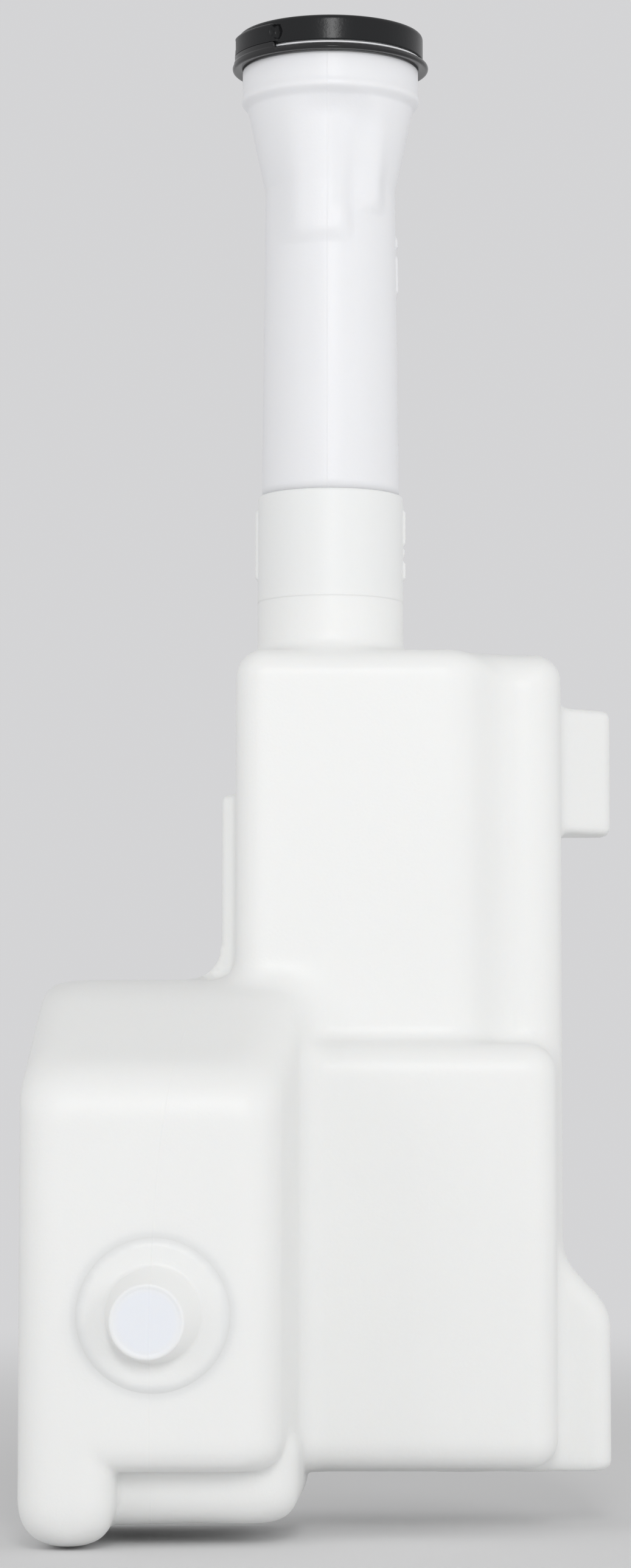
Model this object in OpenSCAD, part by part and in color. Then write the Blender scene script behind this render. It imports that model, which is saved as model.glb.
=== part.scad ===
// Washer fluid reservoir: a blown tank with a push-in filler neck and a flip-top cap.
// Millimetres. X is the width, -Y is the front, Z is up. The origin is below the middle of the
// whole part, at the height of the sump's lowest point.

/* [Upright body] */
// Width of the upright body
body_w = 111; // [106:1:118]
// Depth of the upright body, from its front panel to its back
body_d = 69; // [68:1:76]
// Height of the body's top above the sump's lowest point
body_top = 298; // [285:1:310]
// Height of the body's underside above the sump's lowest point
body_base = 20; // [16:1:24]
// Wall of the blown tank
wall = 2.4; // [2:0.1:3]
// Radius of the tank's moulded edges
edge_r = 8.5; // [7:0.5:9]
// Radius of the hollows where its forms meet
hollow_r = 8; // [6:0.5:10]

/* [Stepped strip] */
// Width of the strip beside the front panel
strip_w = 25; // [20:1:30]
// How far the strip is set back from the panel
strip_set = 12; // [8:1:14]
// How far the step between them leans
step_lean = 2; // [0:0.5:4]
// How far the strip's top lies below the panel's
strip_drop = 1; // [0.6:0.2:3]

/* [Belly] */
// How far the belly stands in front of the panel
belly_out = 12; // [8:1:14]
// Height of the belly's top above the sump's lowest point
belly_top = 164; // [158:1:168]
// How far its right side stays inside the body's
belly_in = 3; // [2:0.5:5]

/* [Side tank] */
// How far the side tank stands out to the left of the body
side_out = 69; // [60:1:76]
// How far its front stands before the body's panel
side_front = 66; // [60:1:72]
// How far its back wall lies behind the body's panel
side_back = 33; // [28:1:40]
// Width of its front face
side_w = 84; // [78:1:88]
// How far its right face has spread where it meets the belly
side_spread = 9; // [6:1:12]
// How far its left face leans in towards the back
side_lean = 5; // [2:1:7]
// Height of its top where it meets the body
side_top = 186; // [182:1:192]
// Height of the edge between its sloping top and its front
side_brow = 152; // [146:1:156]
// Height of its front's lower edge
side_base = 25; // [22:1:28]

/* [Sump] */
// Width of the sump
sump_w = 32; // [28:1:36]
// Radius of the sump's lower corners
sump_r = 13; // [9:1:14]
// Height of the shelf's underside beside the sump
shelf_base = 8; // [6:1:10]
// Distance of the shelf's right end from the sump's left side
shelf_w = 90.5; // [86:0.5:94]
// Height of the shelf, most of which is inside the side tank
shelf_h = 31; // [28:1:36]
// How far the shelf's face is set back under the side tank's front
shelf_set = 16; // [12:1:20]

/* [Foot] */
// How far the foot stands out to the right of the body
foot_out = 17; // [12:1:19]
// Height of the foot's outer top corner
foot_side = 74; // [60:1:80]
// Height where its sloping top meets the body
foot_top = 92; // [84:1:98]
// How far its face is set back from the panel
foot_set = 13; // [8:1:18]

/* [Lug and rail] */
// How far the lug stands out to the right of the body
lug_out = 20; // [18:1:24]
// Height of the lug
lug_h = 45; // [38:1:50]
// Height of the lug's underside above the sump's lowest point
lug_base = 236; // [225:1:240]
// Thickness of the lug at its outer end
lug_t = 16; // [12:1:20]
// How far the lug's face falls back towards its outer end
lug_lean = 15; // [10:1:18]
// How far the rail stands out to the left of the body
rail_out = 5; // [4:0.5:7]
// Height of the rail's top above the sump's lowest point
rail_top = 250; // [240:1:262]
// Depth of the rail, from the body's back
rail_d = 46; // [40:1:50]
// Radius of the hollow between the rail and the side tank's top
gusset_r = 10; // [8:1:14]

/* [Port blank] */
// Height of the blanked port's centre above the sump's lowest point
blank_z = 76; // [70:1:82]
// Distance of its centre from the left face
blank_x = 44; // [40:1:46]
// Radius of its round pad
pad_r = 25.5; // [22:0.5:28]
// How far the pad stands out
pad_out = 2; // [1:0.5:3]
// Radius of the blank stub's flat end
stub_r = 12.5; // [10:0.5:14]
// How far the stub stands out from the pad
stub_out = 8; // [5:1:10]
// How much wider the stub is at its foot
stub_lean = 2; // [1:0.5:3]
// How far the stub sits off the pad's centre, to the left and down
stub_off = 1.5; // [0:0.5:2]

/* [Pump port] */
// Radius of the pump's hole in the side tank's back wall
port_r = 10.5; // [8:0.5:12]
// Distance of the hole from the left face
port_x = 26; // [22:1:32]
// Height of the hole above the sump's lowest point
port_z = 28; // [26:1:34]

/* [Socket] */
// Distance of the neck's axis from the body's left side
neck_in = 32.5; // [30:0.5:36]
// Distance of the neck's axis behind the body's panel
neck_back = 34; // [30:0.5:36]
// Outside radius of the socket
socket_r = 25.4; // [24.5:0.1:26.5]
// Wall of the socket
socket_wall = 2.2; // [1.8:0.1:2.6]
// Height of the socket above the body
socket_h = 57; // [50:1:64]
// Radius of the flare at the socket's foot
flare_r = 3.5; // [3:0.5:5]
// How far the tabs at the sides stand out from the socket and the neck
tab_out = 0.9; // [0.6:0.1:1.4]
// Width of the tabs
tab_w = 6; // [4:0.5:8]
// Distance of the socket's tabs below its top
tab_drop = 5; // [4:0.5:7]
// Length of the left tab
tab_len = 24; // [20:1:28]
// Length of the right tab's upper part
tab_upper = 12; // [10:1:14]
// Length of the right tab's lower part
tab_lower = 6; // [4:1:8]

/* [Filler neck] */
// Wall of the neck
neck_wall = 2; // [1.6:0.1:2.4]
// Length of the spigot inside the socket
spigot_len = 42; // [30:1:48]
// Clearance between the spigot and the socket
neck_gap = 0.3; // [0.2:0.05:0.4]
// Outside radius of the tube at its foot
tube_foot_r = 24; // [23.6:0.1:24.4]
// Outside radius of the tube under the funnel
tube_head_r = 22.8; // [22:0.1:23.5]
// Length of the tube above the socket
tube_h = 108; // [95:1:120]
// Height of the funnel above the tube
funnel_h = 30; // [27:1:33]
// Outside radius of the funnel's upper end
funnel_r = 29.2; // [28.4:0.1:29.8]
// Outside radius of the mouth
mouth_r = 30.9; // [30.2:0.1:31.6]
// Height of the mouth above the funnel
mouth_h = 18.7; // [18:0.1:22]
// Height of the rim inside the lid
rim_h = 1.7; // [1.4:0.1:2]
// Height of the flange under the rim, which keeps the ring down
flange_h = 1.2; // [0.8:0.1:1.6]
// How far the flange stands out
flange_out = 1.5; // [1.2:0.1:1.6]
// How far the bead under the mouth stands out
bead_out = 0.5; // [0.3:0.1:0.8]
// Height of the bead's lower edge above the funnel
bead_rise = 1.2; // [0.8:0.1:2]
// Height of the bead, with a slope half as high above it
bead_h = 2; // [1.5:0.1:2.5]
// Distance of the tab on the neck's right side below the funnel
neck_tab_drop = 23; // [18:1:28]
// Length of that tab
neck_tab_len = 13; // [10:1:15]
// Gap between the tab and the nub above it
nub_gap = 3; // [2:0.5:4]
// Length of the nub
nub_len = 3.6; // [3:0.2:5]

/* [Flats on the funnel] */
// Distance of the left flat in front of the neck's axis
flat_left = 25.4; // [24.6:0.1:26]
// Distance of the right flat in front of the neck's axis
flat_right = 21; // [20:0.1:22.5]
// How far the left flat reaches to the left of the axis
flat_w = 16; // [14:0.5:17]
// Where the two flats meet, to the right of the axis
flat_split = 6; // [4:0.5:8]
// Height of the left flat's lower end above the socket
flat_low = 92; // [88:1:96]
// How much higher the right flat ends
flat_rise = 10; // [7:1:13]
// How far the pads under the flats stand out from the tube at most
flat_proud = 3; // [2.7:0.1:3.4]
// Radius of the arch over the flats
arch_r = 22; // [20:0.5:22.5]
// Height of the arch's centre above the tube
arch_rise = 5; // [4:0.5:7]

/* [Cap] */
// Radius of the ring's bead
ring_r = 34.5; // [34:0.1:35.5]
// Height of the ring
ring_h = 2.8; // [2.6:0.1:3.4]
// Radius of the ring's outer edges
ring_edge = 1.1; // [0.7:0.1:1.2]
// Depth of the groove that holds the ring on the mouth
groove = 0.9; // [0.7:0.1:1.1]
// Radius of the lid
lid_r = 32.6; // [32.3:0.1:33.2]
// Height of the lid
lid_h = 8.4; // [8:0.1:10]
// Wall of the lid
lid_wall = 1.3; // [1:0.1:1.5]
// Depth of the lid's sealing lip inside the mouth
lip_h = 5; // [4:0.5:6]
// Clearance round the lid and the ring
cap_gap = 0.4; // [0.3:0.05:0.5]
// Direction of the hinge from the front, towards the left
hinge_turn = 57; // [45:1:70]
// Arc that the hinge block takes up
hinge_arc = 44; // [36:1:50]
// How far the hinge block stands out from the ring's bead
hinge_out = 0.4; // [0.2:0.1:1]
// How far each half of the hinge block is set in from the line between lid and ring
hinge_in = 0.5; // [0.3:0.1:0.8]
// Arc that the thumb tab takes up
thumb_arc = 16; // [12:1:20]
// How far the thumb tab stands out
thumb_out = 3.6; // [3:0.2:5]
// Height of the thumb tab
thumb_h = 2.6; // [2:0.2:3.4]

/* [Hidden] */
// Smallest overlap of two cuts, and a length that is sure to go through
eps = 0.01;
through = 400;
// Facets of round pieces, of rounded corners and of the balls at the tank's corners
round_fn = 96;
arc_fn = 32;
ball_fn = 24;
// How far forms that would share a face are kept apart
sunk = 0.6;
// Depth of the hollow's flat ends, which clears the tank's round edges
round_in = wall + edge_r * (1 - sqrt(0.5));

overall_w = side_out + body_w + lug_out;
overall_d = pad_out + stub_out + side_front + body_d;
left_x = -overall_w / 2;
body_lx = left_x + side_out;
body_rx = body_lx + body_w;
front_y = -overall_d / 2 + pad_out + stub_out;
panel_y = front_y + side_front;
back_y = panel_y + body_d;
belly_y = panel_y - belly_out;
strip_x = body_rx - strip_w;
strip_y = panel_y + strip_set;
side_rx = left_x + side_w;
side_by = panel_y + side_back;
rail_lx = body_lx - rail_out;
rail_y = back_y - rail_d;
foot_rx = body_rx + foot_out;
foot_y = panel_y + foot_set;
lug_rx = body_rx + lug_out;

neck_x = body_lx + neck_in;
neck_y = panel_y + neck_back;
socket_top = body_top + socket_h;
bore_r = socket_r - socket_wall;
spigot_r = bore_r - neck_gap;
tube_top = socket_top + tube_h;
funnel_top = tube_top + funnel_h;
mouth_top = funnel_top + mouth_h;
mouth_in = mouth_r - neck_wall;
bead_z = funnel_top + bead_rise;
arch_z = tube_top + arch_rise;

flange_z = mouth_top - rim_h - flange_h;
flange_r = mouth_r + flange_out;
ring_z = flange_z - cap_gap - ring_h;
lid_z = flange_z + flange_h + cap_gap;
hinge_z = lid_z - cap_gap / 2;
lid_top = lid_z + lid_h;
groove_r = mouth_r - groove;
hinge_r = ring_r + hinge_out;

// Turns the plane's axes so that its second axis is up and it is pushed towards the back
module push_back(y0, y1) {
    translate([0, y1, 0])
        rotate([90, 0, 0])
            linear_extrude(y1 - y0)
                children();
}

// Turns the plane's axes to depth and height, and pushes it right across the part
module push_across() {
    translate([-through / 2, 0, 0])
        rotate([90, 0, 90])
            linear_extrude(through)
                children();
}

// Pushes a plan up between two heights
module push_up(z0, z1) {
    translate([0, 0, z0])
        linear_extrude(z1 - z0)
            children();
}

// Draws an outline in by one distance, and fills its inner corners to a radius
module drawn_in(by, fill) {
    offset(r = -(by + fill), $fn = arc_fn)
        offset(delta = fill)
            children();
}

// Draws an outline in by one distance, and rounds its outer corners to the rest of a radius
module drawn_round(by, corner) {
    offset(r = corner - by, $fn = arc_fn)
        offset(delta = -corner)
            children();
}

// A ball with a corner at each pole and a ring of corners round its middle
module ball(r) {
    rotate_extrude($fn = ball_fn)
        intersection() {
            circle(r, $fn = ball_fn);
            translate([0, -r])
                square([r, 2 * r]);
        }
}

// Height of the side tank's top at a depth
function side_z(y) = side_brow + (side_top - side_brow) * min(1, (y - front_y) / side_front);

// A block with rounded edges between two opposite corners
module round_block(low, high, r) {
    hull()
        for (x = [low.x + r, high.x - r], y = [low.y + r, high.y - r], z = [low.z + r, high.z - r])
            translate([x, y, z])
                ball(r);
}

// Plan of the upright body, with the strip set back beside its panel
module body_plan() {
    polygon([
        [body_lx, panel_y],
        [strip_x, panel_y],
        [strip_x + step_lean, strip_y],
        [body_rx, strip_y],
        [body_rx, back_y],
        [body_lx, back_y]
    ]);
}

// Corners of the side tank's plan: its left face leans in and its right face spreads to the back
side_corners = [
    [left_x, front_y],
    [side_rx, front_y],
    [side_rx + side_spread, panel_y],
    [side_rx + side_spread, side_by],
    [left_x + side_lean, side_by],
    [left_x + side_lean * side_front / (side_front + side_back), panel_y]
];

// Plan of the belly in front of the body
module belly_plan() {
    polygon([
        [body_lx, belly_y],
        [body_rx - belly_in, belly_y],
        [body_rx - belly_in, strip_y + hollow_r],
        [body_lx, strip_y + hollow_r]
    ]);
}

// Side outline of the side tank: upright front, sloping top, then level to the back
module side_outline() {
    polygon([
        [front_y, 0],
        [front_y, side_brow],
        [panel_y, side_top],
        [back_y, side_top],
        [back_y, 0]
    ]);
}

// Outer form of the upright body: the panel's part, the strip's part and the hollow between them
module body_form() {
    round_block([body_lx, panel_y, body_base], [strip_x, back_y, body_top], edge_r);
    round_block(
        [body_lx + edge_r, strip_y, body_base + sunk],
        [body_rx, back_y - sunk, body_top - strip_drop],
        edge_r
    );
    push_up(body_base + edge_r, body_top - edge_r)
        difference() {
            drawn_in(0, hollow_r / 2)
                body_plan();
            translate([strip_x + hollow_r, panel_y])
                square(body_d);
            translate([body_lx - eps, panel_y - eps])
                square([strip_x - edge_r - body_lx, body_d + 2 * eps]);
            translate([body_lx, strip_y + edge_r])
                square(body_d);
            translate([strip_x - hollow_r, panel_y - eps])
                square([2 * hollow_r, strip_set - hollow_r]);
        }
}

// Outer form of the side tank, with a ball at each corner of its plan, low and high
module side_form() {
    inset = [[1, 1], [-1, 1], [-1, 0], [-1, -1], [1, -1], [1, 0]] * edge_r;
    slope = sqrt(1 + pow((side_top - side_brow) / side_front, 2)) * edge_r;
    hull()
        for (i = [0 : len(side_corners) - 1]) {
            at = side_corners[i] + inset[i];
            translate([at.x, at.y, side_base + edge_r])
                ball(edge_r);
            translate([at.x, at.y, min(side_z(at.y) - slope, side_top - edge_r)])
                ball(edge_r);
        }
}

// Hollow corner between the side tank's right face and the belly
module root_form() {
    push_up(side_base + edge_r, belly_top - edge_r)
        intersection() {
            drawn_in(0, hollow_r) {
                polygon(side_corners);
                belly_plan();
            }
            translate([side_rx - edge_r, belly_y - hollow_r])
                square([side_spread + 2 * hollow_r, 2 * hollow_r]);
        }
}

// Outer form of the sump and of the shelf beside it
module sump_form() {
    hull() {
        for (x = [left_x + sunk + sump_r, left_x + sump_w - sump_r], y = [front_y + sunk, side_by - sunk])
            translate([x, y + (y < panel_y ? 1 : -1) * sump_r, sump_r])
                ball(sump_r);
        for (x = [left_x + sunk + edge_r, left_x + sump_w - edge_r], y = [front_y + sunk, side_by - sunk])
            translate([x + (y < panel_y ? 0 : side_lean), y + (y < panel_y ? 1 : -1) * edge_r, side_base + sump_w])
                ball(edge_r);
    }
    round_block(
        [left_x + sump_w / 2, front_y + shelf_set, shelf_base],
        [left_x + shelf_w, side_by - 2 * sunk, shelf_base + shelf_h],
        edge_r
    );
}

// Front outline of the foot, with a sloping top
module foot_outline() {
    polygon([
        [strip_x, body_base + 2 * sunk],
        [foot_rx, body_base + 2 * sunk],
        [foot_rx, foot_side],
        [body_rx, foot_top],
        [body_rx - edge_r, foot_top + hollow_r],
        [strip_x, foot_top + hollow_r]
    ]);
}

// Plan of the lug, whose face falls back towards its outer end
module lug_plan() {
    polygon([
        [strip_x, back_y - lug_t - 2 * lug_lean],
        [body_rx, back_y - lug_t - lug_lean - edge_r],
        [lug_rx, back_y - lug_t - edge_r],
        [lug_rx, back_y - edge_r],
        [strip_x, back_y - edge_r]
    ]);
}

// Front outline of the rail, with the hollow between it and the side tank's top
module rail_outline() {
    polygon([
        [body_lx + edge_r, side_top - edge_r],
        [body_lx + edge_r, rail_top],
        [rail_lx, rail_top],
        [rail_lx, side_top],
        [rail_lx - 2 * gusset_r, side_top],
        [rail_lx - 2 * gusset_r, side_top - edge_r]
    ]);
}

// Hollow of the tank: each form one wall inside the outer one, and more where edges are round
module tank_hollow() {
    push_up(body_base + round_in, body_top - round_in - strip_drop)
        drawn_round(wall, edge_r)
            body_plan();
    push_up(body_base + round_in, belly_top - round_in)
        drawn_round(wall, edge_r)
            belly_plan();
    intersection() {
        push_up(eps, side_top - round_in)
            drawn_round(wall, edge_r)
                polygon(side_corners);
        push_across()
            drawn_in(round_in, 0)
                side_outline();
        union() {
            push_up(side_base + round_in, side_top)
                translate([left_x, front_y])
                    square([side_w + body_w, overall_d]);
            push_back(front_y + sump_r, side_by)
                drawn_round(wall, sump_r)
                    translate([left_x, 0])
                        square([sump_w, 2 * side_base]);
            push_back(front_y + shelf_set + round_in, side_by)
                drawn_round(wall, edge_r)
                    translate([left_x + sump_w / 2, shelf_base])
                        square([shelf_w - sump_w / 2, 2 * side_base]);
        }
    }
    push_back(foot_y + wall, back_y - edge_r - wall)
        drawn_in(wall, 0)
            foot_outline();
    push_up(lug_base + wall, lug_base + lug_h - wall)
        drawn_in(wall, 0)
            lug_plan();
    push_back(rail_y + wall, back_y - edge_r)
        drawn_in(wall, 0)
            translate([rail_lx, side_top])
                square([rail_out + 3 * edge_r, rail_top - side_top]);
}

// Upright ring of the socket, with a rounded rim and a flared foot
module socket_ring() {
    rim = socket_wall / 2;
    translate([neck_x, neck_y, 0])
        rotate_extrude($fn = round_fn) {
            translate([0, body_top - edge_r])
                square([socket_r, socket_h + edge_r - rim]);
            translate([0, body_top - sunk])
                difference() {
                    square([socket_r + flare_r, flare_r]);
                    translate([socket_r + flare_r, flare_r])
                        circle(flare_r, $fn = round_fn);
                }
            translate([0, socket_top - rim - eps])
                square([socket_r - rim, rim + eps]);
            translate([socket_r - rim, socket_top - rim])
                circle(rim, $fn = round_fn);
        }
}

// A raised tab on the left (-1) or the right (1) of the neck's axis, from a height upwards
module side_tab(side, r, z, length) {
    translate([neck_x + side * (r + tab_out / 2 - wall / 2), neck_y, z + length / 2])
        cube([tab_out + wall, tab_w, length], center = true);
}

// Round pad and stub of the blanked port, grown outwards by a wall or not at all
module port_blank(by) {
    base_r = stub_r + stub_lean;
    translate([left_x + blank_x, front_y, blank_z])
        rotate([90, 0, 0]) {
            if (by > 0)
                translate([0, 0, -wall])
                    cylinder(r = pad_r, h = wall + pad_out, $fn = round_fn);
            translate([-stub_off, -stub_off, -2 * wall - eps])
                cylinder(r = base_r - wall + by, h = 2 * wall + pad_out - wall + by + 2 * eps, $fn = round_fn);
            translate([-stub_off, -stub_off, pad_out - wall + by])
                cylinder(
                    r1 = base_r - wall + by,
                    r2 = stub_r - wall + by,
                    h = stub_out,
                    $fn = round_fn
                );
        }
}

module tank() {
    color("ivory")
        difference() {
            union() {
                body_form();
                round_block(
                    [side_rx, belly_y, body_base + 3 * sunk],
                    [body_rx - belly_in, strip_y + 2 * edge_r, belly_top],
                    edge_r
                );
                side_form();
                root_form();
                sump_form();
                push_back(foot_y, back_y - edge_r)
                    drawn_round(0, wall)
                        foot_outline();
                push_up(lug_base, lug_base + lug_h)
                    drawn_round(0, wall)
                        lug_plan();
                push_back(rail_y, back_y - edge_r + wall)
                    drawn_in(0, gusset_r)
                        rail_outline();
                socket_ring();
                side_tab(-1, socket_r, socket_top - tab_drop - tab_len, tab_len);
                side_tab(1, socket_r, socket_top - tab_drop - tab_upper, tab_upper);
                side_tab(1, socket_r, socket_top - tab_drop - tab_len, tab_lower);
                port_blank(wall);
            }
            tank_hollow();
            translate([neck_x, neck_y, body_top - 2 * edge_r])
                cylinder(r = bore_r, h = socket_h + 3 * edge_r, $fn = round_fn);
            port_blank(0);
            translate([left_x + port_x, side_by - 2 * wall, port_z])
                rotate([-90, 0, 0])
                    cylinder(r = port_r, h = 3 * wall, $fn = round_fn);
        }
}

// Outer half-section of the neck: spigot, tube, funnel, bead, mouth, groove, flange and rim
module neck_profile() {
    polygon([
        [0, socket_top - spigot_len],
        [spigot_r, socket_top - spigot_len],
        [spigot_r, socket_top],
        [tube_foot_r, socket_top],
        [tube_head_r, tube_top],
        [funnel_r, funnel_top],
        [mouth_r + bead_out, bead_z],
        [mouth_r + bead_out, bead_z + bead_h],
        [mouth_r, bead_z + 1.5 * bead_h],
        [mouth_r, ring_z - cap_gap],
        [groove_r, ring_z - cap_gap],
        [groove_r, flange_z],
        [flange_r, flange_z],
        [flange_r, flange_z + flange_h],
        [mouth_r, flange_z + flange_h],
        [mouth_r, mouth_top],
        [0, mouth_top]
    ]);
}

// Inner half-section of the neck, one wall inside the outer one
module neck_hollow() {
    polygon([
        [0, socket_top - spigot_len - eps],
        [spigot_r - neck_wall, socket_top - spigot_len - eps],
        [spigot_r - neck_wall, socket_top],
        [tube_head_r - neck_wall, tube_top],
        [funnel_r - neck_wall, funnel_top],
        [mouth_in, bead_z + bead_h],
        [mouth_in, mouth_top + eps],
        [0, mouth_top + eps]
    ]);
}

// Arch over the flats, seen from the front, between two distances from the axis, drawn in or out
module arch(x0, x1, z0, by) {
    intersection() {
        union() {
            translate([0, arch_z])
                circle(arch_r + by, $fn = round_fn);
            translate([-arch_r - by, z0])
                square([2 * arch_r + 2 * by, arch_z - z0]);
        }
        translate([x0, z0])
            square([x1 - x0, through]);
    }
}

// What the flats take off the front of the funnel, moved back and grown by one wall or not at all
module flats_front(by) {
    push_back(-through, -flat_left + by)
        arch(-flat_w - by, flat_split + by, flat_low + socket_top, by);
    push_back(-through, -flat_right + by)
        arch(flat_split - by, arch_r + by, flat_low + flat_rise + socket_top, by);
}

// The pads behind the flats, which stand proud of the tube below the funnel
module flat_pads() {
    intersection() {
        translate([0, 0, socket_top])
            cylinder(r = tube_head_r + flat_proud, h = funnel_top - socket_top, $fn = round_fn);
        union() {
            push_back(-flat_left, 0)
                arch(-flat_w, flat_split, flat_low + socket_top, 0);
            push_back(-flat_right, 0)
                arch(flat_split - eps, arch_r, flat_low + flat_rise + socket_top, 0);
        }
    }
}

module filler_neck() {
    tab_top = tube_top - neck_tab_drop;
    color("white")
        difference() {
            union() {
                translate([neck_x, neck_y, 0]) {
                    difference() {
                        rotate_extrude($fn = round_fn)
                            neck_profile();
                        flats_front(0);
                    }
                    flat_pads();
                }
                side_tab(1, tube_head_r, tab_top - neck_tab_len, neck_tab_len);
                side_tab(1, tube_head_r, tab_top + nub_gap, nub_len);
            }
            translate([neck_x, neck_y, 0])
                difference() {
                    rotate_extrude($fn = round_fn)
                        neck_hollow();
                    flats_front(neck_wall);
                }
        }
}

// Sector of a revolved half-section about the neck's axis, centred on a turn from the front
module sector(turn, arc) {
    translate([neck_x, neck_y, 0])
        rotate([0, 0, -90 - turn - arc / 2])
            rotate_extrude(angle = arc, $fn = round_fn)
                children();
}

module cap_ring() {
    inner = groove_r + cap_gap;
    color("#1a1b1d") {
        translate([neck_x, neck_y, 0])
            rotate_extrude($fn = round_fn) {
                translate([inner, ring_z])
                    square([ring_r - ring_edge - inner, ring_h]);
                translate([ring_r - 2 * ring_edge, ring_z + ring_edge])
                    square([2 * ring_edge, ring_h - 2 * ring_edge]);
                translate([ring_r - ring_edge, ring_z + ring_edge])
                    circle(ring_edge, $fn = round_fn);
                translate([ring_r - ring_edge, ring_z + ring_h - ring_edge])
                    circle(ring_edge, $fn = round_fn);
            }
        sector(hinge_turn, hinge_arc)
            translate([flange_r + cap_gap, ring_z + hinge_in])
                square([hinge_r - flange_r - cap_gap, hinge_z - ring_z - 2 * hinge_in]);
    }
}

// Half-section of the lid: top plate with a rounded edge, skirt and sealing lip
module lid_profile() {
    lip_r = mouth_in - cap_gap;
    translate([0, lid_top - lid_wall])
        square([lid_r - lid_wall, lid_wall]);
    translate([lid_r - lid_wall, lid_top - lid_wall])
        circle(lid_wall, $fn = round_fn);
    translate([lid_r - lid_wall, lid_z])
        square([lid_wall, lid_h - lid_wall]);
    translate([lip_r - lid_wall, mouth_top - lip_h])
        square([lid_wall, lid_top - mouth_top + lip_h - eps]);
}

module cap_lid() {
    color("#1a1b1d") {
        translate([neck_x, neck_y, 0])
            rotate_extrude($fn = round_fn)
                lid_profile();
        sector(hinge_turn, hinge_arc)
            translate([lid_r - lid_wall / 2, hinge_z + hinge_in])
                square([hinge_r - lid_r + lid_wall / 2, lid_top - lid_wall - hinge_z - hinge_in]);
        sector(hinge_turn + 180, thumb_arc)
            translate([lid_r - lid_wall / 2, lid_z + hinge_in])
                square([thumb_out + lid_wall / 2, thumb_h]);
    }
}

tank();
filler_neck();
cap_ring();
cap_lid();
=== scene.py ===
"""Washer fluid reservoir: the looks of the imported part, in its own frame. Shapes are in millimetres."""

import math

import bpy
import numpy as np
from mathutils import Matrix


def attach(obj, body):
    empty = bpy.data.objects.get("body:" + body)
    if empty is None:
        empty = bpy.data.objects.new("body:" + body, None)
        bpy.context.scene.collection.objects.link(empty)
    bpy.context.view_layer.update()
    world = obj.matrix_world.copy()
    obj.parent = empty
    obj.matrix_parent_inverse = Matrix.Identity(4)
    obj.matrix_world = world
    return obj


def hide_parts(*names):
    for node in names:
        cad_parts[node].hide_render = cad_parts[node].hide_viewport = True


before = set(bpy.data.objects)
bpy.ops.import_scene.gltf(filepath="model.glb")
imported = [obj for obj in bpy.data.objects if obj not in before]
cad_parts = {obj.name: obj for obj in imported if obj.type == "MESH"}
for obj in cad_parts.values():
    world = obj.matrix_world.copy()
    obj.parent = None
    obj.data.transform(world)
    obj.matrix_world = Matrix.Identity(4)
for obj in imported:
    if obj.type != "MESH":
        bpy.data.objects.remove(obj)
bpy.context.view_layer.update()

# Tank: one blow-moulded bottle of natural polyethylene. Upright body with a stepped strip, belly, side tank
# with a sloping top, sump, shelf, foot, lug and rail, all one skin with soft hollows between them. The
# socket on top, the blanked boss at the front and the lip of the pump's hole are turned shapes on it.
mm = 0.001
neck_x, neck_y, socket_r = 1.5, 37.5, 25.4
side_front, side_back, shelf_front = -62.5, 36.5, -46.5
boss_x, boss_z, boss_lean = -56, 75.6, 1.6
pump_x, pump_z = -74, 28


def soft_min(a, b, k):
    """The lesser of two distances, eased where they differ by less than k, so the joint is a hollow."""
    h = np.maximum(k - np.abs(a - b), 0) / k
    return np.minimum(a, b) - h * h * k / 4


def soft_max(a, b, k):
    """The greater of two distances, eased in the same way, so the edge between them is round."""
    return -soft_min(-a, -b, k)


def block(p, low, high, r):
    """Distance to an upright block with edges of radius r: outside, the length of what is past each face."""
    low, high = np.array(low, float), np.array(high, float)
    q = np.abs(p - (low + high) / 2) - (high - low) / 2 + r
    return np.linalg.norm(np.maximum(q, 0), axis=-1) + np.minimum(q.max(-1), 0) - r


def tilted(across, along, run, drift):
    """Distance to a leaning wall: the way across it times a run, plus the way along it times the drift in
    that run, over the length of run and drift together."""
    return (across * run + along * drift) / math.hypot(run, drift)


def walled(d, *walls):
    """Distance to the solid between walls. Each wall after the first comes with the ease of its edge."""
    for wall, ease in walls:
        d = soft_max(d, wall, ease)
    return d


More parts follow.
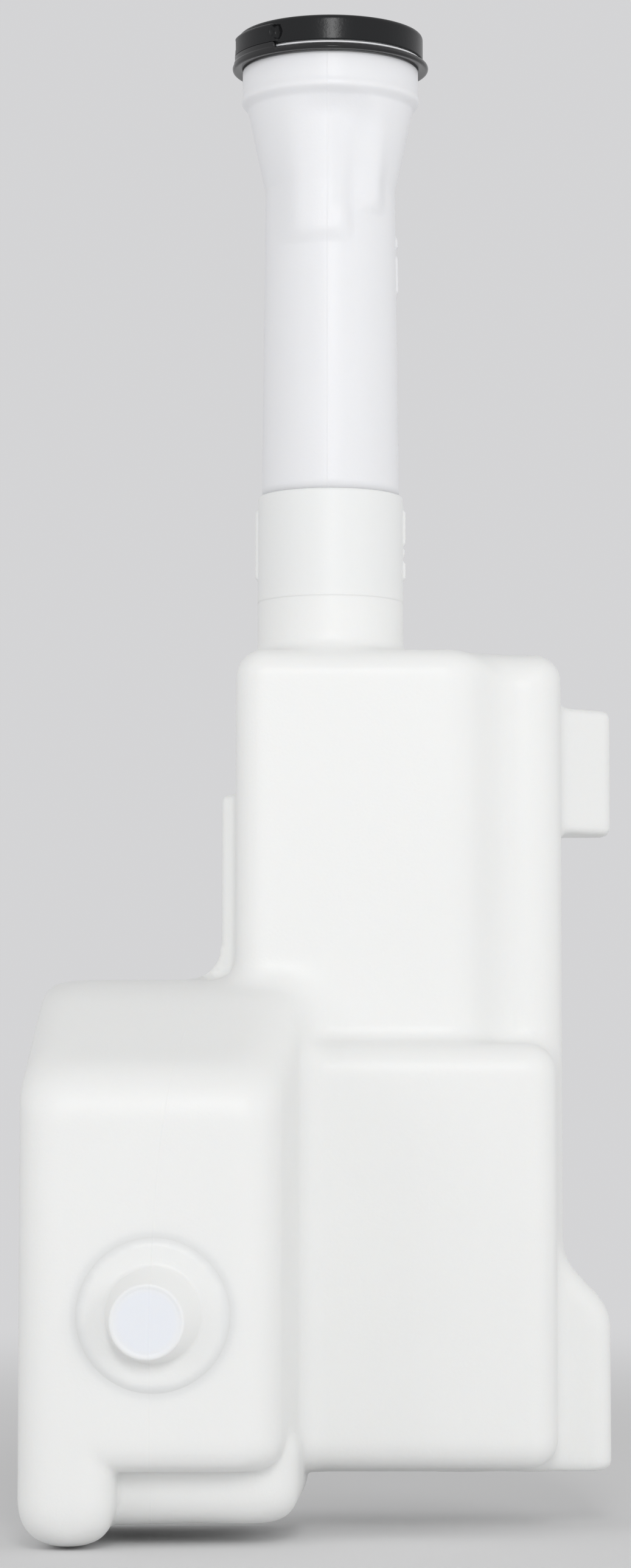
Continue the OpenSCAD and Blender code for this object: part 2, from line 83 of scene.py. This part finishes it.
def tank_field(p):
    """Distance to the tank's skin: each form is a block, or walls that meet in round edges, and soft_min
    joins the forms. The last step also swells the gusset by half a millimetre."""
    x, y, z = p[..., 0], p[..., 1], p[..., 2]
    before_strip = block(p, (55.5, -40, -60), (160, 15.5, 400), 11)
    body = soft_max(block(p, (-31, 3.5, 21), (81.3, 72.5, 298.9), 9.5), -before_strip, 16)
    belly = block(p, (-20, -8.5, 21.6), (77.5, 26, 164), 10)

    depth, back = y - side_front, y - side_back
    left = tilted(-100.6 - x, depth, 99, 5)
    right = tilted(x + 16, depth, 66, -9)
    slope = tilted(z - 152, depth, 66, -34)
    side = walled(-depth, (left, 14), (right, 13), (back, 12), (slope, 13), (z - 186, 9), (25 - z, 11))

    sump = walled(-depth, (left, 14), (x + 68, 12), (back, 12), (-z, 17))
    sump = np.maximum(sump, z - 50)
    shelf_depth = y - shelf_front
    shelf_right = tilted(x + 9.6, shelf_depth, 66, -3)
    shelf_low = 6.2 + 0.8 * np.exp(-(((x + 42) / 22) ** 2))
    shelf = walled(-shelf_depth, (shelf_right, 14), (back, 8), (shelf_low - z, 14), (z - 40, 12))
    shelf = np.maximum(shelf, -84 - x)

    foot_slope = tilted(x - 80, z - 92, 18, 17)
    foot_low = 19.2 + 0.06 * np.maximum(80 - x, 0)
    foot = walled(x - 97, (foot_slope, 5), (16.5 - y, 8), (foot_low - z, 4), (y - 66, 5))
    foot = np.maximum(foot, 40 - x)
    lug_front = tilted(x - 80, y - 34.5, 15, -20)
    lug = walled(lug_front, (x - 99.8, 3), (y - 65.5, 3), (np.abs(z - 259.4) - 22, 3))
    lug = np.maximum(lug, 50 - x)

    rail = block(p, (-36, 26.5, 150), (-15, 66, 250), 2.4)
    gusset_hollow = 11 - np.hypot(x + 47, z - 197)
    gusset = np.maximum(block(p, (-47, 26.5, 170), (-30, 60, 197), 0.5), gusset_hollow)
    socket = np.maximum(np.hypot(x - neck_x, y - neck_y) - socket_r, 280 - z)

    d = soft_min(soft_min(body, belly, 6), side, 9)
    d = np.minimum(np.minimum(d, sump), shelf)
    d = soft_min(soft_min(soft_min(d, foot, 5), lug, 3), socket, 5.5)
    d = soft_min(d, rail, 2.5)
    return soft_min(np.minimum(d, gusset), gusset, 2)


def steepest(field, p):
    """Slope of a field at points, from its values half a millimetre to each side."""
    e = np.eye(3) * 0.5
    return np.stack([field(p + e[i]) - field(p - e[i]) for i in range(3)], -1)


def onto(field, p, tries=3):
    """Moves points along the field's slope until its value there is nothing."""
    for _ in range(tries):
        g = steepest(field, p)
        p = p - field(p)[..., None] * g / np.maximum((g * g).sum(-1, keepdims=True), 1e-9)
    return p


def net(field, low, high, pitch):
    """Surface net of a field. Cells whose corners differ in sign get a vertex at the mean of their edge
    crossings, and each grid edge that the skin crosses joins the four cells round it by a quad."""
    n = np.ceil((np.array(high) - np.array(low)) / pitch).astype(int) + 1
    axes = [low[i] + pitch * np.arange(n[i]) for i in range(3)]
    v = field(np.stack(np.meshgrid(*axes, indexing="ij"), -1).astype(np.float32)).astype(float)
    corners = [(i, j, k) for i in (0, 1) for j in (0, 1) for k in (0, 1)]
    at = {c: v[c[0] : n[0] - 1 + c[0], c[1] : n[1] - 1 + c[1], c[2] : n[2] - 1 + c[2]] for c in corners}
    inside = sum((at[c] < 0).astype(int) for c in corners)
    cell = (inside > 0) & (inside < 8)
    total, count = np.zeros((cell.sum(), 3)), np.zeros(cell.sum())
    for a in corners:
        for b in corners:
            if sum(b) - sum(a) == 1 and sum(abs(b[i] - a[i]) for i in range(3)) == 1:
                va, vb = at[a][cell], at[b][cell]
                cross = (va < 0) != (vb < 0)
                t = np.where(cross, va / np.where(cross, va - vb, 1), 0)
                total += cross[:, None] * (np.array(a) + t[:, None] * (np.array(b) - np.array(a)))
                count += cross
    verts = np.array(low) + pitch * (np.argwhere(cell) + total / count[:, None])
    index = -np.ones(cell.shape, int)
    index[cell] = np.arange(cell.sum())
    quads = []
    for i in range(3):
        j, k = (i + 1) % 3, (i + 2) % 3
        w = np.moveaxis(v, (i, j, k), (0, 1, 2))
        m = np.moveaxis(index, (i, j, k), (0, 1, 2))
        enters = (w[:-1, 1:-1, 1:-1] < 0) != (w[1:, 1:-1, 1:-1] < 0)
        around = [m[:, :-1, :-1], m[:, 1:, :-1], m[:, 1:, 1:], m[:, :-1, 1:]]
        q = np.stack([r[enters] for r in around], 1)
        flip = w[:-1, 1:-1, 1:-1][enters] > 0
        q[flip] = q[flip][:, ::-1]
        quads.append(q)
    return verts, np.concatenate(quads)


def skin(name, verts, faces):
    """Makes a smooth mesh of quads from points in millimetres."""
    mesh = bpy.data.meshes.new(name)
    mesh.from_pydata(np.asarray(verts) * mm, [], np.asarray(faces).tolist())
    mesh.validate()
    mesh.polygons.foreach_set("use_smooth", np.ones(len(mesh.polygons), bool))
    obj = bpy.data.objects.new(name, mesh)
    bpy.context.scene.collection.objects.link(obj)
    return obj


def grid_faces(rows, cols):
    """Quads of a grid of points in rows, each row joined to a ring."""
    r, c = np.meshgrid(np.arange(rows - 1), np.arange(cols), indexing="ij")
    a, b = r * cols + c, r * cols + (c + 1) % cols
    return np.stack([a, b, b + cols, a + cols], -1).reshape(-1, 4)


def merged(*parts):
    """Joins sets of points and faces into one set."""
    verts, faces, n = [], [], 0
    for v, f in parts:
        verts.append(v)
        faces.append(f + n)
        n += len(v)
    return np.concatenate(verts), np.concatenate(faces)


def turned(profile, centre, outward, cols=128):
    """Revolves (radius, height) pairs about a line through a centre that runs along outward."""
    w = np.array(outward, float)
    u = np.array([1.0, 0, 0])
    v = np.cross(w, u)
    a = np.linspace(0, 2 * np.pi, cols, endpoint=False)
    circle = np.cos(a)[:, None] * u + np.sin(a)[:, None] * v
    r, h = np.array(profile, float).T
    p = np.array(centre) + r[:, None, None] * circle + h[:, None, None] * w
    return p.reshape(-1, 3), grid_faces(len(r), cols)


def about_neck(rows, turns):
    """Carries rows of (radius, height) pairs round the neck's axis, one pair for each turn from the front.
    Turns to the left are negative."""
    r, h = rows[..., 0], rows[..., 1]
    p = np.stack([neck_x + r * np.sin(turns), neck_y - r * np.cos(turns), h], -1)
    return p.reshape(-1, 3), grid_faces(len(rows), len(turns))


def arc(cx, cy, r, a0, a1, n=8):
    """Points of an arc between two angles in degrees."""
    a = np.radians(np.linspace(a0, a1, n))
    return np.stack([cx + r * np.cos(a), cy + r * np.sin(a)], -1).tolist()


def step(t):
    """Smooth rise from 0 to 1 while t goes from 0 to 1."""
    t = np.clip(t, 0, 1)
    return t * t * (3 - 2 * t)


def tabbed(r, turn, z, *tabs, half=3, ease=1.2):
    """Raises a radius within half a tab's width of a turn and between two heights, eased all round."""
    for at, low, high, proud in tabs:
        off = np.abs((turn - np.radians(at) + np.pi) % (2 * np.pi) - np.pi) * r
        r = r + proud * step((half - off) / ease + 0.5) * step(np.minimum(z - low, high - z) / ease + 0.5)
    return r


skin_v, skin_f = net(tank_field, low=(-105, -68, -5), high=(105, 78, 322), pitch=2.05)
skin_v = onto(tank_field, skin_v)
pump_off = np.hypot(skin_v[:, 0] - pump_x, skin_v[:, 2] - pump_z)
boss_off = np.hypot(skin_v[:, 0] - boss_x, skin_v[:, 2] - boss_z)
near_back = np.abs(skin_v[:, 1] - side_back) < 4
near_front = skin_v[:, 1] < side_front + 2.5
pump_cut, boss_cut, socket_cut = 11, 21.5, 319.5
at_pump = near_back & (pump_off < pump_cut)
under_boss = near_front & (boss_off < boss_cut)
in_socket = skin_v[:, 2] > socket_cut
skin_f = skin_f[~(at_pump | under_boss | in_socket)[skin_f].any(1)]

turns = np.linspace(-np.pi, np.pi, 320, endpoint=False)
rise, turn = np.meshgrid(np.linspace(317.6, 353.6, 61), turns, indexing="ij")
socket_tabs = (-90, 326, 350, 0.9), (90, 338, 350, 0.9), (90, 334, 336.6, 0.6), (90, 326, 332, 0.9)
socket_wall = np.stack([tabbed(np.full(rise.shape, socket_r), turn, rise, *socket_tabs), rise], -1)
socket_edge = np.array([*arc(24.3, 353.9, 1.1, 15, 180), [23.2, 345], [23.2, 320]])
socket_edge = np.repeat(socket_edge[:, None], len(turns), 1)
socket = about_neck(np.concatenate([socket_wall, socket_edge]), turns)

fade = np.linspace(0, 1, 9)
boss_foot = np.stack([26.8 - 5 * fade, 1.5 * step(fade) - 0.5], -1)
boss_side = [[19, 1], *arc(17, 3, 2, 270, 205, 6), *arc(11.5, 8.9, 0.8, 20, 90, 5)]
boss_end = [[11, 9.7], [10.6, 9.5], [10.1, 9.5], [6, 9.5], [0.01, 9.5]]
boss_v, boss_f = turned([*boss_foot, *boss_side, *boss_end], (boss_x, side_front, boss_z), (0, -1, 0))
lean_from, lean_over = 2, 7
lean = boss_lean * step((side_front - lean_from - boss_v[:, 1]) / lean_over)
boss = boss_v - lean[:, None] * np.array([1, 0, 1]), boss_f

pump_lip = [[14.6, -0.4], *arc(14, 0, 0.4, 0, 90, 4), *arc(11.2, 0, 0.6, 90, 180, 5), [10.6, -2.4]]
lip = turned(pump_lip, (pump_x, side_back, pump_z), (0, 1, 0))
tank = skin("tank_skin", *merged((skin_v, skin_f), socket, boss, lip))
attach(tank, "reservoir")
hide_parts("tank")


class Wire:
    """An output socket in a material, with arithmetic that adds math nodes."""

    def __init__(self, tree, socket):
        self.tree, self.socket = tree, socket

    def node(self, kind, out=0, settings=None, **inputs):
        """Adds any node, sets its properties, then its inputs by name or as i and a number, and returns one
        of its outputs."""
        n = self.tree.nodes.new(kind)
        for k, v in (settings or {}).items():
            setattr(n, k, v)
        for k, v in inputs.items():
            by_number = k[0] == "i" and k[1:].isdigit()
            s = n.inputs[int(k[1:])] if by_number else n.inputs[k.replace("_", " ")]
            if isinstance(v, Wire):
                self.tree.links.new(v.socket, s)
            else:
                s.default_value = v
        return Wire(self.tree, n.outputs[out])

    def math(self, op, a, b):
        """Adds a math node on two values."""
        return self.node("ShaderNodeMath", settings={"operation": op}, i0=a, i1=b)

    def mix(self, share, first, second):
        """Colour between two others, by a share."""
        return self.node("ShaderNodeMix", 2, {"data_type": "RGBA"}, i0=share, i6=first, i7=second)

    def __add__(self, o):
        return self.math("ADD", self, o)

    __radd__ = __add__

    def __mul__(self, o):
        return self.math("MULTIPLY", self, o)

    __rmul__ = __mul__

    def __sub__(self, o):
        return self.math("SUBTRACT", self, o)

    def __rsub__(self, o):
        return self.math("SUBTRACT", o, self)


def finish_of(name, colour, rough, grain, soft, shine=0.5, seam=None, spot=None):
    """A plastic: colour and roughness drift by a broad noise, and a fine noise gives the mould's grain. A
    seam is a thin ridge where x is a start plus a share of the cube of the height over a base. A spot is a
    round patch of another colour about a point in x and z. Both are in metres, and lie in front of a y."""
    low_tone, drift, relief, seam_sharp = 0.975, 0.06, 0.0004, 2200.0
    m = bpy.data.materials.new(name)
    m.use_nodes = True
    tree = m.node_tree
    shader = tree.nodes["Principled BSDF"]
    at = Wire(tree, tree.nodes.new("ShaderNodeTexCoord").outputs["Object"])
    x, y, z = [at.node("ShaderNodeSeparateXYZ", i, Vector=at) for i in range(3)]
    broad = at.node("ShaderNodeTexNoise", Vector=at, Scale=22.0, Detail=2.0)
    fine = at.node("ShaderNodeTexNoise", Vector=at, Scale=900.0, Detail=2.0)
    tone = at.mix(broad, (*[c * low_tone for c in colour], 1), (*colour, 1))
    bump = at.node("ShaderNodeBump", Height=fine, Strength=grain, Distance=relief)
    if spot:
        spot_x, spot_z, radius, front, spot_colour = spot
        across, above = x - spot_x, z - spot_z
        off = at.math("POWER", across * across + above * above, 0.5)
        patch = at.node("ShaderNodeMapRange", Value=off, From_Min=radius, From_Max=radius * 0.7)
        tone = at.mix(patch * at.math("LESS_THAN", y, front), tone, (*spot_colour, 1))
    if seam:
        start, share, base, front = seam
        height = z - base
        off = at.math("ABSOLUTE", x - share * (height * height * height) - start, 0.0)
        ridge = at.math("MAXIMUM", 1 - seam_sharp * off, 0.0) * at.math("LESS_THAN", y, front)
        bump = at.node("ShaderNodeBump", Height=ridge, Strength=0.15, Distance=relief, Normal=bump)
    tree.links.new(tone.socket, shader.inputs["Base Color"])
    tree.links.new((rough - drift + 2 * drift * broad).socket, shader.inputs["Roughness"])
    tree.links.new(bump.socket, shader.inputs["Normal"])
    shader.inputs["IOR"].default_value = 1.5
    shader.inputs["Specular IOR Level"].default_value = shine
    shader.inputs["Subsurface Weight"].default_value = soft
    shader.inputs["Subsurface Radius"].default_value = (1.0, 0.85, 0.7)
    shader.inputs["Subsurface Scale"].default_value = 0.006
    return m


natural, thin_end = (0.885, 0.89, 0.88), (0.84, 0.865, 0.915)
tank_seam = -0.0568, 6.2, 0.05, -0.012
end_spot = (boss_x - boss_lean) * mm, (boss_z - boss_lean) * mm, 0.0125, -0.069, thin_end
tank_finish = finish_of("tank", natural, rough=0.42, grain=0.12, soft=0.15, seam=tank_seam, spot=end_spot)
tank.data.materials.append(tank_finish)

# Filler neck: a separate blown tube with a funnel mouth, pushed into the socket as far as its shoulder.
# Two flats under an arch take up the front of the funnel, the right one further back than the left.
section_z = 354, 355, 463, 492.2, 494.6, 496, 497.4
section_r = 24, 24, 22.8, 29.0, 31.2, 31.25, 30.9
flats = (25.4, -17, 6.3, 443.5), (21, 5.7, 20, 454)
arch_z, arch_r, flat_most, flat_share = 468, 22, 26.5, 0.7
neck_tabs = (90, 427, 440, 0.7), (90, 443, 446.6, 0.7)
neck_wall, mouth_r = 2, 28.9


def neck_radius(turn, z):
    """Outer radius by turn from the front (left is negative) and height. The half-section is eased by a
    narrow bell. Under the arch it goes a share of the way to the flats, each a depth divided by the turn's
    cosine, eased off where it would stand further out than the funnel or than flat_most."""
    h = np.linspace(300, 530, 2301)
    reach, spread, ease = 40, 4.5, 4
    bell = np.exp(-0.5 * (np.arange(-reach, reach + 1) / spread) ** 2)
    section = np.pad(np.interp(h, section_z, section_r), reach, mode="edge")
    plain = r = np.interp(z, h, np.convolve(section, bell / bell.sum(), "valid"))
    for depth, left, right, low in flats:
        flat = depth / np.maximum(np.cos(turn), 0.2)
        flat = soft_min(flat, soft_max(plain, flat_most, ease), ease)
        x = flat * np.sin(turn)
        arch = np.where(z > arch_z, arch_r - np.hypot(x, z - arch_z), arch_r - np.abs(x))
        between = soft_min((x - left) * 0.4, right - x, ease)
        inside = soft_min(soft_min(arch * 0.6, z - low, ease), between, ease)
        inside = np.where(np.abs(turn) < 1.35, inside, -9)
        r = r + flat_share * (flat - r) * step(inside / 6 + 0.5)
    return tabbed(r, turn, z, *neck_tabs)


tube_z, funnel_z = np.linspace(355, 424, 22), np.linspace(425, 491, 111)
bead_z, mouth_z = np.linspace(491.3, 498.5, 37), np.linspace(499, 506, 11)
z, turn = np.meshgrid(np.concatenate([tube_z, funnel_z, bead_z, mouth_z]), turns, indexing="ij")
outer = neck_radius(turn, z)
spigot = [(20.9, 313), (22.9, 313), (22.9, 354.9), (23.6, 355)]
groove = [(30.8, 506.2), (30, 506.3), (30, 508.8), (30.1, 508.9)]
flange = [*arc(32.2, 509.1, 0.2, -90, 0, 5), *arc(32.2, 509.3, 0.2, 0, 90, 5), (31, 509.5), (30.9, 509.6)]
rim = [*arc(30.4, 511.2, 0.5, 0, 90, 5), *arc(29.4, 511.2, 0.5, 90, 180, 5)]
low_rows = np.repeat(np.array(spigot)[:, None], len(turns), 1)
top_rows = np.repeat(np.array([*groove, *flange, *rim])[:, None], len(turns), 1)
wall = np.stack([outer, z], -1)
bore = np.stack([np.minimum(outer - neck_wall, mouth_r), z], -1)[::-4]
neck_rows = np.concatenate([low_rows, wall, top_rows, bore, low_rows[:1]])
neck = skin("neck_skin", *about_neck(neck_rows, turns))
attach(neck, "reservoir")
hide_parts("filler_neck")
neck_seam = 0.0005, 0.0, 0.0, 0.03
cool_white = (0.872, 0.872, 0.888)
neck.data.materials.append(finish_of("neck", cool_white, rough=0.4, grain=0.1, soft=0.15, seam=neck_seam))

# Cap ring: glossy black moulding snapped into the groove round the mouth. A round bead runs about it,
# and it carries the lower half of the hinge block at the front left.


def round_loop(corners, radii, n=6, pull=0.8):
    """Half-section through corners, each replaced by n points of a curve that touches both of its sides and
    is the mean of its two ends and the corner, by weights that change along it."""
    c = np.array(corners, float)
    out = []
    for i, r in enumerate(radii):
        before, after = c[i - 1] - c[i], c[(i + 1) % len(c)] - c[i]
        a = c[i] + before / np.linalg.norm(before) * r
        b = c[i] + after / np.linalg.norm(after) * r
        t = np.linspace(0, 1, n)[:, None]
        first, corner, last = (1 - t) ** 2, 2 * pull * t * (1 - t), t**2
        out.append((first * a + corner * c[i] + last * b) / (first + corner + last))
    return np.concatenate(out)


def lugged(plain, *lugs, cols=480):
    """Revolves a closed half-section about the neck, changed to another one within an arc about a turn. The
    arc's half angle is one number, or one for each point of the section, and the change is eased."""
    a = np.radians(np.linspace(-180, 180, cols, endpoint=False))
    loop = np.repeat(plain[:, None], cols, 1)
    for other, turn, half, ease in lugs:
        off = np.abs((np.degrees(a) - turn + 180) % 360 - 180)
        within = np.broadcast_to(half, len(plain))[:, None] - off
        loop = loop + (other - plain)[:, None] * step(within / ease + 0.5)[..., None]
    return about_neck(np.concatenate([loop, loop[:1]]), a)


hinge_turn, hinge_half, hinge_r = -57, 22, 34.3
ring_r, bead_r, bead_top = 30.4, 34.5, 508.4
ring_low = [(ring_r, 506.7), (bead_r, 506.2)]
plain_top = [(r, bead_top) for r in (bead_r, 33.4, 33.3, 33.2, 33, ring_r)]
block_front = [(bead_r, 508.2), (hinge_r, 508.6), (hinge_r, 510.25)]
block_back = [(32.9, 510.25), (32.9, bead_top), (ring_r, bead_top)]
ring_plain = round_loop([*ring_low, *plain_top], [0.2, 1.1, 1.1, 0.04, 0.04, 0.04, 0.04, 0.4])
ring_block = round_loop([*ring_low, *block_front, *block_back], [0.2, 1.0, 0.2, 0.2, 0.06, 0.2, 0.2, 0.4])
ring = skin("ring_skin", *lugged(ring_plain, (ring_block, hinge_turn, hinge_half, 1.2)))
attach(ring, "reservoir")
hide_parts("cap_ring")
ring.data.materials.append(finish_of("ring", (0.01, 0.01, 0.011), rough=0.16, grain=0.03, soft=0))

# Cap lid: satin black moulding with a skirt round the rim and a sealing lip inside the mouth. It has the
# upper half of the hinge block at the front left, with hollow ends, and a thumb tab across from it.
lid_r, lid_low, lid_top, plate_low, lip_low = 32.6, 510, 518.8, 517.4, 506.7
scoop_r, thumb_r, under_r, block_mid = 31.7, 36.2, 32.7, 513.8
lip_outside = [(31.3, lid_low), (31.3, plate_low), (28.5, plate_low), (28.5, lip_low)]
lip_inside = [(27.2, lip_low), (27.2, plate_low), (0.02, plate_low)]
inner_radii = [0.3, 0.5, 0.4, 0.4, 0.4, 0.4, 0.01]


def lid_loop(*outside):
    """Half-section of the lid, given the (radius, height, rounding) of each corner of its outside from the
    top plate's edge down."""
    corners = [(0.02, lid_top), (lid_r, lid_top), *[c[:2] for c in outside], (lid_r, lid_low)]
    radii = [0.01, 1.5, *[c[2] for c in outside], 0.3, *inner_radii]
    return round_loop([*corners, *lip_outside, *lip_inside], radii)[::-1]


def upright(r):
    """Three corners down the side at one radius."""
    return (r, 515.4, 0.2), (r, block_mid, 0.2), (r, 512.2, 0.2)


skirt_end = lid_r, 510.6, 0.1
plain_side = (lid_r, 516.8, 0.1), (lid_r, 516.4, 0.1), *upright(lid_r), (lid_r, 511, 0.1)
block_side = (hinge_r, 516.8, 0.9), *upright(hinge_r), (hinge_r, 510.4, 0.06), (under_r, 510.4, 0.02)
scoop_side = (scoop_r, 516.6, 0.1), *upright(scoop_r), (scoop_r, 511.1, 0.1)
thumb_side = (lid_r, 514, 0.3), (thumb_r, 513.3, 0.7), (thumb_r, 511, 0.7), (under_r, 510.8, 0.05)
lid_plain = lid_loop(*plain_side, skirt_end)
lid_block = lid_loop((lid_r, 517.1, 0.1), *block_side)
lid_scoop = lid_loop((lid_r, 517, 0.1), *scoop_side, skirt_end)
lid_thumb = lid_loop((lid_r, 516.4, 0.1), (lid_r, 515.4, 0.1), *thumb_side, (lid_r, 510.6, 0.05))
bow = np.clip(1 - ((lid_block[:, 1] - block_mid) / 3.4) ** 2, 0, 1)
block_lug = lid_block, hinge_turn, hinge_half - 2.8 * bow, 0.9
scoop_lug = lid_scoop, -34.6, 4.6 * bow - 1.8, 3.4
thumb_lug = lid_thumb, 123, 8, 1.6
lid = skin("lid_skin", *lugged(lid_plain, block_lug, scoop_lug, thumb_lug))
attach(lid, "lid")
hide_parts("cap_lid")
lid_black = (0.01, 0.0105, 0.0115)
lid.data.materials.append(finish_of("lid", lid_black, rough=0.26, grain=0.1, soft=0, shine=0.3))

# Stage: pale floor that runs out into an even backdrop of the same tone. Soft light comes from all round,
# from one lamp in front that leaves a highlight, and from a fill lamp at each side.
backdrop = (0.66, 0.66, 0.67, 1)
floor_mesh = bpy.data.meshes.new("floor")
floor_mesh.from_pydata([(-9, -9, 0), (9, -9, 0), (9, 9, 0), (-9, 9, 0)], [], [(0, 1, 2, 3)])
floor = bpy.data.objects.new("floor", floor_mesh)
bpy.context.scene.collection.objects.link(floor)
pale = bpy.data.materials.new("floor")
pale.use_nodes = True
tree = pale.node_tree
paint = tree.nodes["Principled BSDF"]
paint.inputs["Base Color"].default_value = (0.8, 0.8, 0.805, 1)
paint.inputs["Roughness"].default_value = 1
paint.inputs["Specular IOR Level"].default_value = 0
place = Wire(tree, tree.nodes.new("ShaderNodeTexCoord").outputs["Object"])
far = place.node("ShaderNodeVectorMath", 1, {"operation": "LENGTH"}, i0=place)
eased = {"interpolation_type": "SMOOTHSTEP"}
far = far.node("ShaderNodeMapRange", 0, eased, Value=far, From_Min=0.3, From_Max=1.4)
glow = tree.nodes.new("ShaderNodeEmission")
glow.inputs["Color"].default_value = backdrop
blend = tree.nodes.new("ShaderNodeMixShader")
tree.links.new(far.socket, blend.inputs[0])
tree.links.new(paint.outputs[0], blend.inputs[1])
tree.links.new(glow.outputs[0], blend.inputs[2])
tree.links.new(blend.outputs[0], tree.nodes["Material Output"].inputs["Surface"])
floor_mesh.materials.append(pale)

world = bpy.data.worlds.new("surroundings")
bpy.context.scene.world = world
world.use_nodes = True
tree = world.node_tree
path = tree.nodes.new("ShaderNodeLightPath")
rays = [Wire(tree, path.outputs[f"Is {k} Ray"]) for k in ("Camera", "Glossy", "Transmission")]
seen = rays[0] + rays[1] + rays[2]
ray = Wire(tree, tree.nodes.new("ShaderNodeTexCoord").outputs["Generated"])
height = ray.node("ShaderNodeSeparateXYZ", 2, Vector=ray)
up = height.node("ShaderNodeMapRange", Value=height, From_Min=0.1, From_Max=0.9)
horizon, zenith = (0.89, 0.89, 0.89, 1), (0.42, 0.42, 0.42, 1)
sky = seen.mix(seen, up.mix(up, horizon, zenith), backdrop)
tree.links.new(sky.socket, tree.nodes["Background"].inputs["Color"])


def softbox(name, place, aim, width, height, watts, mirrored):
    """Area lamp that faces along the two turns given in degrees: up from straight down, then about the
    upright axis. A lamp that isn't mirrored only fills the shade, and leaves no highlight."""
    data = bpy.data.lights.new(name, "AREA")
    data.shape = "RECTANGLE"
    data.size, data.size_y = width, height
    data.energy = watts
    lamp = bpy.data.objects.new(name, data)
    lamp.location = place
    lamp.rotation_euler = (math.radians(aim[0]), 0, math.radians(aim[1]))
    lamp.visible_glossy = mirrored
    bpy.context.scene.collection.objects.link(lamp)


softbox("front_lamp", (0.06, -1.7, 0.9), aim=(70, 2), width=0.32, height=0.6, watts=6.6, mirrored=True)
softbox("right_lamp", (1.2, -1.1, 0.45), aim=(84, 47), width=0.7, height=0.9, watts=4.2, mirrored=False)
softbox("left_lamp", (-1.3, -1.0, 0.5), aim=(83, -53), width=0.7, height=0.9, watts=2.4, mirrored=False)

focal_px, height_px, sensor = 6866, 2576, 36
cam_data = bpy.data.cameras.new("camera")
cam_data.sensor_width = sensor
cam_data.lens = focal_px / height_px * sensor
cam = bpy.data.objects.new("camera", cam_data)
cam.location = (-0.00375, -1.4125, 0.14045)
cam.rotation_euler = (math.radians(94.5), 0, 0)
bpy.context.scene.collection.objects.link(cam)
bpy.context.scene.camera = cam
bpy.context.scene.view_settings.view_transform = "Standard"
